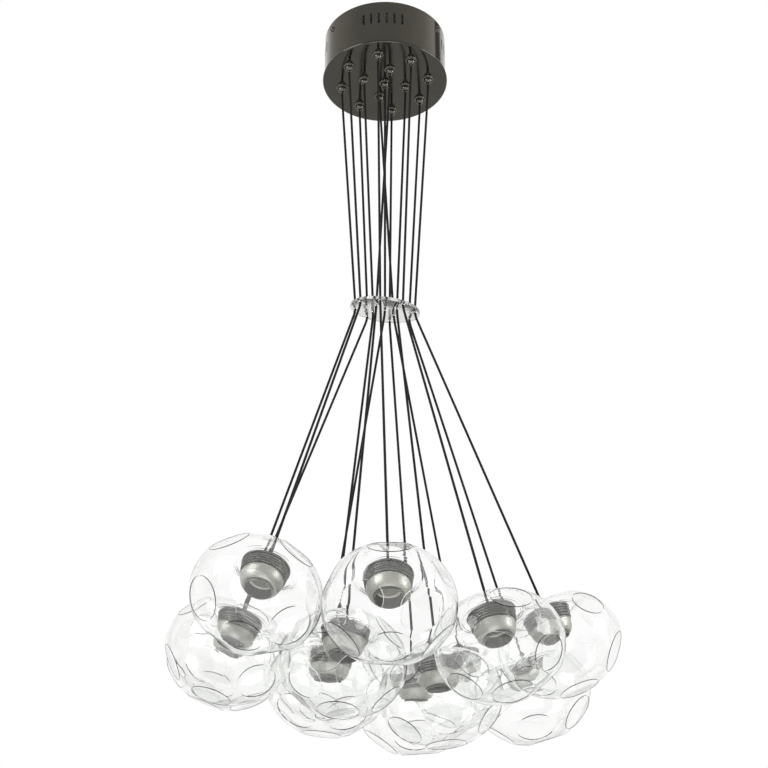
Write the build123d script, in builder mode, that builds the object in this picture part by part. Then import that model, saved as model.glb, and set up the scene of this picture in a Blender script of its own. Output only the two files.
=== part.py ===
from build123d import *
import os
from math import atan2, cos, degrees, radians, sin, tan

# A cluster pendant: thirteen clear glass globes on black cords under one drum canopy.
# Millimetres, +Z up. The origin is the centre of the canopy's rim, on the ceiling.
# The viewer's side is -Y.

# Canopy, a spun steel drum with a half-round bead where its floor is folded on
CANOPY_R = 97.5
CANOPY_H = 84.0
CANOPY_WALL = 1.5
BEAD_R = 2.5
FLOOR_Z = -CANOPY_H
VENT_GROUPS = 4
VENTS_PER_GROUP = 6
VENT_PITCH = 7.3
VENT_TURN = -93.0
VENT_W = 3.5
VENT_H = 19.0
VENT_Z = -29.0

# Ceiling strap inside the canopy, and the two screws that hold the canopy to it
STRAP_REACH = 95.0
STRAP_W = 25.0
STRAP_T = 2.0
STRAP_DROP = 18.0
STRAP_SLOT_SPACING = 70.0
STRAP_SLOT_W = 5.2
STRAP_SLOT_L = 22.0
STRAP_CABLE_R = 5.0
SIDE_SCREW_Z = -10.0
SIDE_SCREW_R = 2.0
SIDE_SCREW_L = 6.5
SIDE_SCREW_HEAD_R = 4.5
SIDE_SCREW_PLAY = 0.1

# Terminal block under the strap
BLOCK_L = 44.0
BLOCK_W = 20.0
BLOCK_H = 16.0
POLES = 3
POLE_PITCH = 13.0
POLE_R = 2.5
POLE_DEPTH = 6.0

# Cord grips: a turned bead under the floor, on a threaded tube with a locknut above it
GRIP_R = 6.5
GRIP_H = 13.0
GRIP_NOSE = 3.0
GRIP_TUBE_R = 5.0
GRIP_TUBE_H = 14.0
GRIP_BORE_R = 2.1
GRIP_PLAY = 0.1
LOCKNUT_APOTHEM = 7.0
LOCKNUT_T = 3.0
OUTER_RING_R = 70.0
INNER_RING_R = 34.0
OUTER_START = 261.0
INNER_START = 284.0

# Spreader disc, a clear acrylic plate that rides tilted on the cords
DISC_R = 52.0
DISC_T = 5.0
DISC_Z = -515.0
DISC_TILT = (13.0, 7.0, 0.0)
DISC_HOLE_R = 3.0
DISC_EDGE = 0.6
DISC_OUTER_R = 45.0
DISC_INNER_R = 22.0
DISC_INNER_TURN = -50.0

# Cords
CORD_R = 1.8
CORD_TOP_Z = -72.0
CORD_STRAIGHT = 5.0
CORD_BEND_DROP = 5.0
HINGE_GAP = 2.2
BEND_SHARE = 0.45

# Glass globe: an oblate blown bowl, its top sunk to a seat round the neck hole.
# Heights are along the cord, from the globe's widest plane.
GLOBE_R = 84.0
GLOBE_H = 70.0
GLOBE_SIDE_R = 62.0
GLASS_T = 2.0
SEAT_Z = 46.0
SEAT_R = 40.0
NECK_R = 29.2

# Lid on the glass, with the cord's strain relief on it
LID_R = 32.5
LID_RIM_H = 3.0
LID_STEP_R = 30.0
LID_TOP_H = 4.5
LID_SKIN = 1.5
LID_INNER_R = 26.5
RELIEF_R = 7.0
RELIEF_H = 10.5
RELIEF_NOSE_R = 5.5
RELIEF_TAPER = 3.0

# Lampholder: a tapered cup with its glass-retaining ring, and the socket under it
CUP_TOP_R = 28.5
CUP_END_R = 24.0
CUP_H = 24.0
CUP_SKIN = 1.5
RING_R = 31.5
RING_H = 3.0
SOCKET_R = 19.8
SOCKET_BORE_R = 13.5
SOCKET_MOUTH_Z = 9.0
SOCKET_ROOF_Z = 38.0
SOCKET_ROOF_T = 2.0

# Centre of each globe as it hangs, in the order of the cord holes: the outer ring from the
# viewer's left of centre round to the left, then the inner ring, then the middle hole
GLOBE_CENTRES = [
    (5, -225, -1080),
    (145, -125, -1095),
    (235, 10, -1040),
    (210, 180, -1050),
    (45, 220, -1055),
    (-230, 160, -1005),
    (-210, -5, -1055),
    (-160, -195, -1055),
    (-55, -65, -1095),
    (75, 45, -1100),
    (120, 350, -970),
    (-80, 105, -1065),
    (-95, 285, -980),
]
OUTER_COUNT = 8
INNER_COUNT = 4


def ring_points(radius, count, start):
    """Points evenly round a circle, the first at the start angle."""
    angles = [radians(start + 360 / count * i) for i in range(count)]
    return [(radius * cos(a), radius * sin(a)) for a in angles]


grip_points = (
    ring_points(OUTER_RING_R, OUTER_COUNT, OUTER_START)
    + ring_points(INNER_RING_R, INNER_COUNT, INNER_START)
    + [(0, 0)]
)
disc_points = (
    ring_points(DISC_OUTER_R, OUTER_COUNT, OUTER_START)
    + ring_points(DISC_INNER_R, INNER_COUNT, INNER_START + DISC_INNER_TURN)
    + [(0, 0)]
)
disc_plane = Plane(Location((0, 0, DISC_Z), DISC_TILT))

# Each cord leaves its grip downwards, runs straight to its disc hole and bends below it
nose_points = [Vector(x, y, FLOOR_Z - GRIP_H - CORD_STRAIGHT) for x, y in grip_points]
hole_points = [disc_plane.from_local_coords(Vector(x, y, 0)) for x, y in disc_points]
bend_points = [
    hole + (hole - nose).normalized() * CORD_BEND_DROP
    for nose, hole in zip(nose_points, hole_points)
]


def hanging_plane(centre, bend):
    """The plane across a globe's widest part, its Z along the cord to the bend."""
    return Plane(origin=centre, z_dir=bend - Vector(centre))


hangs = [hanging_plane(c, bend) for c, bend in zip(GLOBE_CENTRES, bend_points)]


def save(part, name):
    part.label = name
    export_step(part, f"parts/{name}.step")


# Canopy
with BuildPart() as canopy:
    with BuildSketch(Plane.XZ):
        with BuildLine():
            Line((0, FLOOR_Z), (CANOPY_R, FLOOR_Z))
            ThreePointArc(
                (CANOPY_R, FLOOR_Z),
                (CANOPY_R + BEAD_R, FLOOR_Z + BEAD_R),
                (CANOPY_R, FLOOR_Z + 2 * BEAD_R),
            )
            Polyline(
                (CANOPY_R, FLOOR_Z + 2 * BEAD_R),
                (CANOPY_R, 0),
                (CANOPY_R - CANOPY_WALL, 0),
                (CANOPY_R - CANOPY_WALL, FLOOR_Z + CANOPY_WALL),
                (0, FLOOR_Z + CANOPY_WALL),
                (0, FLOOR_Z),
            )
        make_face()
    revolve(axis=Axis.Z)
    with BuildSketch(Plane.XY.offset(FLOOR_Z)):
        with Locations(*grip_points):
            Circle(GRIP_TUBE_R + GRIP_PLAY)
    extrude(amount=CANOPY_WALL, mode=Mode.SUBTRACT)
    for group in range(VENT_GROUPS):
        for slot in range(VENTS_PER_GROUP):
            step = slot - (VENTS_PER_GROUP - 1) / 2
            turn = radians(VENT_TURN + 360 / VENT_GROUPS * group + VENT_PITCH * step)
            outward = Vector(cos(turn), sin(turn), 0)
            with BuildSketch(Plane((0, 0, VENT_Z), x_dir=(0, 0, 1), z_dir=outward)):
                Rectangle(VENT_H, VENT_W)
            extrude(amount=CANOPY_R + BEAD_R, mode=Mode.SUBTRACT)
    with BuildSketch(Plane.YZ):
        with Locations((0, SIDE_SCREW_Z)):
            Circle(SIDE_SCREW_R + SIDE_SCREW_PLAY)
    extrude(amount=CANOPY_R + BEAD_R, both=True, mode=Mode.SUBTRACT)

# Ceiling strap: its two ends turn down inside the drum's wall
with BuildPart() as strap:
    with BuildSketch(Plane.XZ):
        Rectangle(2 * STRAP_REACH, STRAP_DROP, align=(Align.CENTER, Align.MAX))
        with Locations((0, -STRAP_T)):
            Rectangle(
                2 * (STRAP_REACH - STRAP_T),
                STRAP_DROP,
                align=(Align.CENTER, Align.MAX),
                mode=Mode.SUBTRACT,
            )
    extrude(amount=STRAP_W / 2, both=True)
    fillet(strap.edges().filter_by(Axis.Y).group_by(Axis.Z)[-1], STRAP_T)
    with BuildSketch(Plane.XY.offset(-STRAP_T)):
        Circle(STRAP_CABLE_R)
        with GridLocations(STRAP_SLOT_SPACING, 0, 2, 1):
            SlotOverall(STRAP_SLOT_L, STRAP_SLOT_W)
    extrude(amount=STRAP_T, mode=Mode.SUBTRACT)
    with BuildSketch(Plane.YZ):
        with Locations((0, SIDE_SCREW_Z)):
            Circle(SIDE_SCREW_R + SIDE_SCREW_PLAY)
    extrude(amount=STRAP_REACH, both=True, mode=Mode.SUBTRACT)

# Canopy side screws: a domed head outside the wall, the shank through wall and strap
with BuildPart() as side_screws:
    with BuildSketch(Plane.XZ):
        with BuildLine():
            head_top = (CANOPY_R + BEAD_R, SIDE_SCREW_Z)
            head_edge = (CANOPY_R, SIDE_SCREW_Z + SIDE_SCREW_HEAD_R)
            RadiusArc(head_top, head_edge, -SIDE_SCREW_HEAD_R)
            Polyline(
                head_edge,
                (CANOPY_R, SIDE_SCREW_Z + SIDE_SCREW_R),
                (CANOPY_R - SIDE_SCREW_L, SIDE_SCREW_Z + SIDE_SCREW_R),
                (CANOPY_R - SIDE_SCREW_L, SIDE_SCREW_Z),
                head_top,
            )
        make_face()
    revolve(axis=Axis((0, 0, SIDE_SCREW_Z), (1, 0, 0)))
    mirror(about=Plane.YZ)

# Terminal block: wire holes across it, clamp screw wells from below
with BuildPart() as block:
    with Locations((0, 0, -STRAP_T)):
        Box(BLOCK_L, BLOCK_W, BLOCK_H, align=(Align.CENTER, Align.CENTER, Align.MAX))
    with BuildSketch(Plane.XZ):
        with Locations((0, -STRAP_T - BLOCK_H / 2)):
            with GridLocations(POLE_PITCH, 0, POLES, 1):
                Circle(POLE_R)
    extrude(amount=BLOCK_W / 2, both=True, mode=Mode.SUBTRACT)
    with BuildSketch(Plane.XY.offset(-STRAP_T - BLOCK_H)):
        with GridLocations(POLE_PITCH, BLOCK_W / 2, POLES, 2):
            Circle(POLE_R - STRAP_T / 4)
    extrude(amount=POLE_DEPTH, mode=Mode.SUBTRACT)

# Cord grip: bead, tube and the bore that the cord runs through
with BuildPart() as grip:
    with BuildSketch(Plane.XZ):
        with BuildLine():
            Polyline(
                (GRIP_BORE_R, FLOOR_Z - GRIP_H),
                (GRIP_BORE_R, FLOOR_Z + GRIP_TUBE_H),
                (GRIP_TUBE_R, FLOOR_Z + GRIP_TUBE_H),
                (GRIP_TUBE_R, FLOOR_Z),
                (GRIP_R, FLOOR_Z),
                (GRIP_R, FLOOR_Z - GRIP_H + GRIP_NOSE),
                (GRIP_R - GRIP_NOSE, FLOOR_Z - GRIP_H),
                (GRIP_BORE_R, FLOOR_Z - GRIP_H),
            )
        make_face()
    revolve(axis=Axis.Z)

with BuildPart() as cord_grips:
    with Locations(*grip_points):
        add(grip.part)

with BuildPart() as locknuts:
    with BuildSketch(Plane.XY.offset(FLOOR_Z + CANOPY_WALL)):
        with Locations(*grip_points):
            RegularPolygon(LOCKNUT_APOTHEM, 6, major_radius=False)
            Circle(GRIP_TUBE_R + GRIP_PLAY, mode=Mode.SUBTRACT)
    extrude(amount=LOCKNUT_T)

# Spreader disc
with BuildPart() as spreader:
    with BuildSketch(disc_plane.offset(-DISC_T / 2)):
        Circle(DISC_R)
        with Locations(*disc_points):
            Circle(DISC_HOLE_R, mode=Mode.SUBTRACT)
    extrude(amount=DISC_T)
    rim = spreader.edges().filter_by(GeomType.CIRCLE).sort_by(SortBy.RADIUS)[-2:]
    chamfer(rim, DISC_EDGE)

# Upper cords, canopy to disc, kept on the canopy's side of the bend
with BuildPart() as upper_cords:
    for (x, y), nose, bend in zip(grip_points, nose_points, bend_points):
        top = Vector(x, y, CORD_TOP_Z)
        turn = (bend - nose).get_angle(nose - top)
        with BuildLine() as route:
            if turn > 1:
                reach = BEND_SHARE * (top - nose).length
                FilletPolyline(top, nose, bend, radius=reach / tan(radians(turn / 2)))
            else:
                Line(top, bend)
        with BuildSketch(Plane(origin=top, z_dir=(0, 0, -1))):
            Circle(CORD_R)
        sweep(path=route.line)

# Globe: an oval of a flatter bottom arc and a rounder side arc, which meet where both
# have the same tangent, and a brow that rolls over to the seat round the neck
side_x = GLOBE_R - GLOBE_SIDE_R
rise = GLOBE_H - GLOBE_SIDE_R
bottom_r = (side_x**2 + GLOBE_H**2 - GLOBE_SIDE_R**2) / (2 * rise)
join = degrees(atan2(bottom_r - GLOBE_H, side_x))
with BuildPart() as globe:
    with BuildSketch(Plane.XZ):
        with BuildLine():
            for depth in (0, GLASS_T):
                bottom = (0, bottom_r - GLOBE_H)
                CenterArc(bottom, bottom_r - depth, -90, 90 - join)
                side = CenterArc((side_x, 0), GLOBE_SIDE_R - depth, -join, 2 * join)
                seat = (SEAT_R + depth / 2, SEAT_Z - depth)
                TangentArc(side @ 1, seat, tangent=side % 1)
                Line(seat, (NECK_R, SEAT_Z - depth))
            Line((0, -GLOBE_H), (0, GLASS_T - GLOBE_H))
            Line((NECK_R, SEAT_Z), (NECK_R, SEAT_Z - GLASS_T))
        make_face()
    revolve(axis=Axis.Z)

# Lid: a stepped cap, hollow below, with the strain relief on top
lid_top_z = SEAT_Z + LID_TOP_H
with BuildPart() as lid:
    with BuildSketch(Plane.XZ):
        with BuildLine():
            Polyline(
                (LID_INNER_R, SEAT_Z),
                (LID_R, SEAT_Z),
                (LID_R, SEAT_Z + LID_RIM_H),
                (LID_STEP_R, SEAT_Z + LID_RIM_H),
                (LID_STEP_R, lid_top_z),
                (RELIEF_R, lid_top_z),
                (RELIEF_R, lid_top_z + RELIEF_H - RELIEF_TAPER),
                (RELIEF_NOSE_R, lid_top_z + RELIEF_H),
                (GRIP_BORE_R, lid_top_z + RELIEF_H),
                (GRIP_BORE_R, lid_top_z - LID_SKIN),
                (LID_INNER_R, lid_top_z - LID_SKIN),
                (LID_INNER_R, SEAT_Z),
            )
        make_face()
    revolve(axis=Axis.Z)

# Lampholder: cup, retaining ring and socket turned as one
cup_end_z = SEAT_Z - CUP_H
ring_top_z = SEAT_Z - GLASS_T
socket_top_z = SOCKET_ROOF_Z + SOCKET_ROOF_T
with BuildPart() as lampholder:
    with BuildSketch(Plane.XZ):
        with BuildLine():
            Polyline(
                (CUP_TOP_R, SEAT_Z),
                (CUP_TOP_R, ring_top_z),
                (RING_R, ring_top_z),
                (RING_R, ring_top_z - RING_H),
                (CUP_TOP_R, ring_top_z - RING_H),
                (CUP_END_R, cup_end_z),
                (SOCKET_R, cup_end_z),
                (SOCKET_R, SOCKET_MOUTH_Z),
                (SOCKET_BORE_R, SOCKET_MOUTH_Z),
                (SOCKET_BORE_R, SOCKET_ROOF_Z),
                (0, SOCKET_ROOF_Z),
                (0, socket_top_z),
                (SOCKET_R, socket_top_z),
                (SOCKET_R, cup_end_z + CUP_SKIN),
                (CUP_END_R - CUP_SKIN, cup_end_z + CUP_SKIN),
                (CUP_TOP_R - CUP_SKIN, ring_top_z - RING_H),
                (CUP_TOP_R - CUP_SKIN, SEAT_Z),
                (CUP_TOP_R, SEAT_Z),
            )
        make_face()
    revolve(axis=Axis.Z)

os.makedirs("parts", exist_ok=True)
save(canopy.part, "canopy")
save(strap.part, "ceiling_strap")
save(side_screws.part, "canopy_side_screws")
save(block.part, "terminal_block")
save(cord_grips.part, "cord_grips")
save(locknuts.part, "grip_locknuts")
save(spreader.part, "spreader_disc")
save(upper_cords.part, "upper_cords")

for number, (hang, bend) in enumerate(zip(hangs, bend_points), start=1):
    length = (bend - hang.origin).length - HINGE_GAP - socket_top_z
    with BuildPart() as cord:
        with BuildSketch(hang.offset(socket_top_z)):
            Circle(CORD_R)
        extrude(amount=length)
    save(cord.part, f"cord_{number:02d}")
    save(globe.part.moved(hang.location), f"globe_{number:02d}")
    save(lid.part.moved(hang.location), f"lid_{number:02d}")
    save(lampholder.part.moved(hang.location), f"lampholder_{number:02d}")
    print(f"cord {number:02d}: {length:.0f} mm below the disc, bend {tuple(bend)}")
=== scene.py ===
import bmesh
import bpy
import numpy as np
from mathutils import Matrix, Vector


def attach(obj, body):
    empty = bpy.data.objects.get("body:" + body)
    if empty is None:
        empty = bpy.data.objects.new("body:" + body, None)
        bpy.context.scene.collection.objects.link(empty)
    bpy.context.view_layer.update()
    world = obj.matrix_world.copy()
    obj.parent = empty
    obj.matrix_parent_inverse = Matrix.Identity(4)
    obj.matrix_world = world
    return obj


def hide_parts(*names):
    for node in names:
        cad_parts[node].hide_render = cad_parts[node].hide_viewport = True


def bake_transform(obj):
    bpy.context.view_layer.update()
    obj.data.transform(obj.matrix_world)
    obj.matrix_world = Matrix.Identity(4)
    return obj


bl_info = {
    "name": "Cluster Pendant",
    "version": (1, 0, 0),
    "blender": (4, 5, 0),
    "location": "View3D > Sidebar > Cluster Pendant",
    "description": "Builds a ceiling light of glass globes hung in a cluster from a drum canopy",
    "category": "Add Mesh",
}

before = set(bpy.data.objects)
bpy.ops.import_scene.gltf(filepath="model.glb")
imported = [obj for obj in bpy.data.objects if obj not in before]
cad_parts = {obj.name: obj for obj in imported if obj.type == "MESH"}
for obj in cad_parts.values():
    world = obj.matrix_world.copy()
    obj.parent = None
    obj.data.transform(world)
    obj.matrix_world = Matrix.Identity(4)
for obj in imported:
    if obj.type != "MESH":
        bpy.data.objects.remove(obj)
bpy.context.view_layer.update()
ROOT = "canopy"
MM = 0.001
TAU = 2 * np.pi

# Where the cords run, in millimetres and degrees, as in the solids
FLOOR_Z = -84.0
GRIP_H = 13.0
GRIP_TUBE_H = 14.0
CORD_BORE = 2.1
CORD_TOP_Z = -72.0
CORD_STRAIGHT = 5.0
CORD_BEND_DROP = 5.0
OUTER_START = 261.0
INNER_START = 284.0
OUTER_COUNT = 8
INNER_COUNT = 4
DISC_TILT = (13.0, 7.0)
DISC_INNER_TURN = -50.0
GLOBE_CENTRES = [
    (5, -225, -1080),
    (145, -125, -1095),
    (235, 10, -1040),
    (210, 180, -1050),
    (45, 220, -1055),
    (-230, 160, -1005),
    (-210, -5, -1055),
    (-160, -195, -1055),
    (-55, -65, -1095),
    (75, 45, -1100),
    (120, 350, -970),
    (-80, 105, -1065),
    (-95, 285, -980),
]
PENDANTS = [f"{number:02d}" for number in range(1, len(GLOBE_CENTRES) + 1)]

# Heights on a pendant, in millimetres from its globe's centre up its cord
SEAT_Z = 46.0
LID_TOP = SEAT_Z + 4.5
COLLAR_TOP = 43.7
COLLAR_END = 29.6
SOCKET_TOP = 40.0
SOCKET_ROOF = 38.0

# The drum's vents and side screws, in millimetres and degrees
VENT_GROUPS = 4
VENTS_PER_GROUP = 6
VENT_MARGIN = 5.0
SIDE_SCREW_Z = -14.0
SIDE_SCREW_TURNS = {"back": 90, "left": 210, "right": 330}

# The blown globes, in radians: where each variant's dimples start, and from globe to globe
BLOWN_TURNS = (0.4, 1.0, 1.7)
GLOBE_TWIST = 0.9

# Fixed tones and clear solids
# The canopy's floor gets a darker copy of the wall's plating: painted shade on its downward face
UNDERSIDE_PAINTED_SHADE = 0.65
SHELL_TONE = (0.62, 0.61, 0.56)
# Colours that the clear solids darken to where they are seen along their surface: painted shade at
# their rims
GLASS_GRAZING_PAINTED_SHADE = (0.72, 0.74, 0.71)
GLASS_IOR = 1.46
ACRYLIC_GRAZING_PAINTED_SHADE = (0.35, 0.37, 0.37)
ACRYLIC_IOR = 1.49

# The viewer and the studio, in metres and degrees
LENS_MM = 82.03
EYE = (-0.0015, -2.2064, -1.9029)
EYE_LIFT = 29.74
STUDIO_HALF = 9
STUDIO_DROP = 2.7
LIGHT_BOUNCES = 32


# ---------------------------------------------------------------- sizes and colours


def length_mm(name, description, default):
    """A size in millimetres."""
    return bpy.props.FloatProperty(name=name, description=description, default=default, min=0.0)


def colour(name, description, default):
    """A linear colour."""
    return bpy.props.FloatVectorProperty(
        name=name, description=description, default=default, size=3, subtype="COLOR", min=0, max=1
    )


class CanopySizes(bpy.types.PropertyGroup):
    """The drum canopy, in millimetres."""

    radius: length_mm("Radius", "Outer radius of the drum's wall", 97.5)
    wall: length_mm("Wall", "Thickness of the drum's sheet", 1.5)
    bead: length_mm("Bead", "Radius of the rolled bead at the floor", 2.5)
    vent_width: length_mm("Vent width", "Width of a vent slot", 3.5)
    vent_height: length_mm("Vent height", "Overall height of a vent slot", 21.0)
    vent_depth: length_mm("Vent depth", "Ceiling to the middle of the slots", 33.0)
    vent_pitch: bpy.props.FloatProperty(
        name="Vent pitch", description="Degrees from one slot to the next", default=7.3
    )
    vent_turn: bpy.props.FloatProperty(
        name="Vent turn", description="Direction of the first group of slots", default=-92.0
    )
    outer_ring: length_mm("Outer ring", "Radius of the outer ring of cord grips", 70.0)
    inner_ring: length_mm("Inner ring", "Radius of the inner ring of cord grips", 34.0)


class DiscSizes(bpy.types.PropertyGroup):
    """The clear spreader disc, in millimetres."""

    radius: length_mm("Radius", "Radius of the disc", 52.0)
    thickness: length_mm("Thickness", "Thickness of the disc", 5.0)
    drop: length_mm("Drop", "Ceiling to the disc's middle", 515.0)
    hole: length_mm("Hole", "Radius of a cord hole", 3.0)
    outer_ring: length_mm("Outer ring", "Radius of the outer ring of holes", 45.0)
    inner_ring: length_mm("Inner ring", "Radius of the inner ring of holes", 22.0)


class PendantSizes(bpy.types.PropertyGroup):
    """One globe with its lampholder, in millimetres along its own cord."""

    cord: length_mm("Cord", "Radius of a cord", 1.8)
    globe: length_mm("Globe", "Radius of a globe at its widest", 84.0)
    depth: length_mm("Depth", "Widest plane to the globe's lowest point", 70.0)
    side: length_mm("Side", "Radius of the globe's side arc", 62.0)
    glass: length_mm("Glass", "Thickness of the globe's wall", 2.0)
    neck: length_mm("Neck", "Radius of the neck hole", 29.2)
    seat: length_mm("Seat", "Radius where the sunken seat begins", 40.0)
    dimple: length_mm("Dimple", "Radius of a thumbprint dimple", 25.0)
    dish: length_mm("Dish", "Radius of the hollow that presses a dimple", 260.0)
    ripple: length_mm("Ripple", "Unevenness of the blown wall", 0.07)


class FinishColours(bpy.types.PropertyGroup):
    """The colours of the finishes."""

    nickel: colour("Black nickel", "Plating of canopy and grips", (0.155, 0.147, 0.125))
    lid: colour("Lid", "Dark lids and strain reliefs", (0.13, 0.13, 0.12))
    cup: colour("Cup", "Grey cups over the lampholders", (0.40, 0.40, 0.365))
    socket: colour("Socket", "Lampholder bodies", (0.085, 0.085, 0.072))
    insert: colour("Insert", "Ceramic inserts in the lampholders", (0.62, 0.61, 0.55))
    cord: colour("Cord", "Cord sheath", (0.007, 0.0065, 0.006))
    glass: colour("Glass", "Tint of the blown glass", (0.996, 0.999, 0.994))
    acrylic: colour("Acrylic", "Tint of the spreader disc", (0.80, 0.83, 0.82))
    zinc: colour("Zinc", "Strap and nuts", (0.62, 0.62, 0.60))
    block: colour("Block", "Terminal block", (0.82, 0.82, 0.78))
    floor: colour("Floor", "Studio floor", (0.86, 0.86, 0.86))


# ---------------------------------------------------------------- geometry helpers


def unit(v):
    """A vector over its length."""
    v = np.asarray(v, float)
    return v / np.linalg.norm(v)


def ring_points(radius, count, start):
    """Points evenly round a circle of that radius, the first at the start angle."""
    turn = np.radians(start + 360 / count * np.arange(count))
    return np.stack([radius * np.cos(turn), radius * np.sin(turn)], 1)


def mesh_piece(name, points, faces, body=None, stands_for=(), material=None, slot=None):
    """A smooth mesh from millimetre points in the frame's axes, riding on a body."""
    mesh = bpy.data.meshes.new(name)
    mesh.from_pydata((np.asarray(points) * MM).tolist(), [], faces)
    mesh.update()
    mesh.shade_smooth()
    piece = bpy.data.objects.new(name, mesh)
    bpy.context.scene.collection.objects.link(piece)
    if material is not None:
        mesh.materials.append(material)
    if body:
        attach(piece, body)
    if stands_for:
        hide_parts(*stands_for)
    return piece


def grid_quads(rows, columns, first=0, closed=True):
    """Quads of a grid of rows by columns, whose last column joins the first when closed."""
    across = columns if closed else columns - 1
    r, c = np.meshgrid(np.arange(rows - 1), np.arange(across), indexing="ij")
    a = first + r * columns + c
    b = first + r * columns + (c + 1) % columns
    return np.stack([a, b, b + columns, a + columns], -1).reshape(-1, 4)


def lathe(profile, segments):
    """Turns a profile of (radius, height) round Z: x = r cos t, y = r sin t, z = h.

    A point of no radius becomes one pole, joined to its neighbours by a fan."""
    here = np.arange(segments)
    nxt = (here + 1) % segments
    turn = TAU * here / segments
    circle = np.stack([np.cos(turn), np.sin(turn)], 1)
    points, rings, faces, count = [], [], [], 0
    for r, h in np.asarray(profile, float):
        ring = circle * r if r > 1e-9 else np.zeros((1, 2))
        points.append(np.column_stack([ring, np.full(len(ring), h)]))
        rings.append((count, len(ring)))
        count += len(ring)
    for (a, na), (b, nb) in zip(rings, rings[1:]):
        if na == 1:
            faces += np.stack([np.full(segments, a), b + nxt, b + here], 1).tolist()
        elif nb == 1:
            faces += np.stack([a + here, a + nxt, np.full(segments, b)], 1).tolist()
        else:
            faces += np.stack([a + here, a + nxt, b + nxt, b + here], 1).tolist()
    return np.concatenate(points), faces


def arc(centre, radius, start, end, steps):
    """Points of a circular arc from the start to the end angle, in degrees."""
    turn = np.radians(np.linspace(start, end, steps))
    return np.stack([centre[0] + radius * np.cos(turn), centre[1] + radius * np.sin(turn)], 1)


def rounded(profile, radius, steps=4):
    """A profile with every corner but its two ends rounded by about that radius.

    Each corner is replaced by (1 - t)^2 a + 2 t (1 - t) corner + t^2 b, where a and b
    lie on its two sides at the radius from it, or nearer on a short side."""
    profile = [np.asarray(p, float) for p in profile]
    out = [profile[0]]
    for before, corner, after in zip(profile, profile[1:], profile[2:]):
        reach_in = min(radius, 0.45 * np.linalg.norm(before - corner))
        reach_out = min(radius, 0.45 * np.linalg.norm(after - corner))
        a = corner + unit(before - corner) * reach_in
        b = corner + unit(after - corner) * reach_out
        t = np.linspace(0, 1, steps)[:, None]
        out += list((1 - t) ** 2 * a + 2 * t * (1 - t) * corner + t**2 * b)
    out.append(profile[-1])
    return np.array(out)


def placed(points, matrix):
    """Local points carried by a 4 x 4 matrix."""
    return points @ matrix[:3, :3].T + matrix[:3, 3]


def place_of(turn, origin):
    """The 4 x 4 matrix of a 3 x 3 turn and an origin."""
    matrix = np.eye(4)
    matrix[:3, :3] = turn
    matrix[:3, 3] = origin
    return matrix


def standing(origin, z, lean):
    """The place of a shape whose Z runs along z, and whose X is square to z and the lean."""
    x = unit(np.cross(lean, z))
    return place_of(np.stack([x, np.cross(z, x), z], 1), origin)


def disc_matrix(sizes):
    """The disc's place: turned about X, then about its own Y, and lowered."""
    a, b = np.radians(DISC_TILT)
    about_x = np.array([[1, 0, 0], [0, np.cos(a), -np.sin(a)], [0, np.sin(a), np.cos(a)]])
    about_y = np.array([[np.cos(b), 0, np.sin(b)], [0, 1, 0], [-np.sin(b), 0, np.cos(b)]])
    return place_of(about_x @ about_y, (0, 0, -sizes.drop))


def cord_places(scene):
    """For each cord: its grip, the point below the grip's nose, its disc hole and its bend."""
    canopy, disc = scene.canopy_sizes, scene.disc_sizes
    grips = np.concatenate(
        [
            ring_points(canopy.outer_ring, OUTER_COUNT, OUTER_START),
            ring_points(canopy.inner_ring, INNER_COUNT, INNER_START),
            [(0, 0)],
        ]
    )
    holes = np.concatenate(
        [
            ring_points(disc.outer_ring, OUTER_COUNT, OUTER_START),
            ring_points(disc.inner_ring, INNER_COUNT, INNER_START + DISC_INNER_TURN),
            [(0, 0)],
        ]
    )
    holes = placed(np.column_stack([holes, np.zeros(len(holes))]), disc_matrix(disc))
    noses = np.column_stack([grips, np.full(len(grips), FLOOR_Z - GRIP_H - CORD_STRAIGHT)])
    bends = [h + unit(h - n) * CORD_BEND_DROP for h, n in zip(holes, noses)]
    return list(zip(grips, noses, holes, bends))


def hangs(scene):
    """The place of every globe by its pendant's number, with Z up the cord to the bend."""
    return {
        number: standing(centre, unit(bend - np.asarray(centre, float)), (0, 1, 0))
        for number, centre, (*_, bend) in zip(PENDANTS, GLOBE_CENTRES, cord_places(scene))
    }


# ---------------------------------------------------------------- finishes


def new_material(name):
    """A node material with its principled shader, and the shader's tree."""
    material = bpy.data.materials.new(name)
    material.use_nodes = True
    tree = material.node_tree
    return material, tree, tree.nodes["Principled BSDF"]


def math(tree, operation, *values):
    """The result of a math node that takes sockets and plain numbers."""
    node = tree.nodes.new("ShaderNodeMath")
    node.operation = operation
    for socket, value in zip(node.inputs, values):
        if isinstance(value, float):
            socket.default_value = value
        else:
            tree.links.new(value, socket)
    return node.outputs["Value"]


def noise(tree, scale, detail=3.0, stretch=(1, 1, 1)):
    """Noise on the piece's own coordinates, stretched per axis."""
    place = tree.nodes.new("ShaderNodeTexCoord")
    mapping = tree.nodes.new("ShaderNodeMapping")
    mapping.inputs["Scale"].default_value = stretch
    texture = tree.nodes.new("ShaderNodeTexNoise")
    texture.inputs["Scale"].default_value = scale
    texture.inputs["Detail"].default_value = detail
    tree.links.new(place.outputs["Object"], mapping.inputs["Vector"])
    tree.links.new(mapping.outputs["Vector"], texture.inputs["Vector"])
    return texture.outputs["Fac"]


def ramped(tree, value, low, high):
    """A value from 0 to 1 spread between two numbers."""
    spread = tree.nodes.new("ShaderNodeMapRange")
    spread.inputs["To Min"].default_value = low
    spread.inputs["To Max"].default_value = high
    tree.links.new(value, spread.inputs["Value"])
    return spread.outputs["Result"]


def two_tone(tree, value, dark, light):
    """A mix of two colours by a value."""
    mix = tree.nodes.new("ShaderNodeMix")
    mix.data_type = "RGBA"
    mix.inputs["A"].default_value = (*dark, 1)
    mix.inputs["B"].default_value = (*light, 1)
    tree.links.new(value, mix.inputs["Factor"])
    return mix.outputs["Result"]


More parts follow.
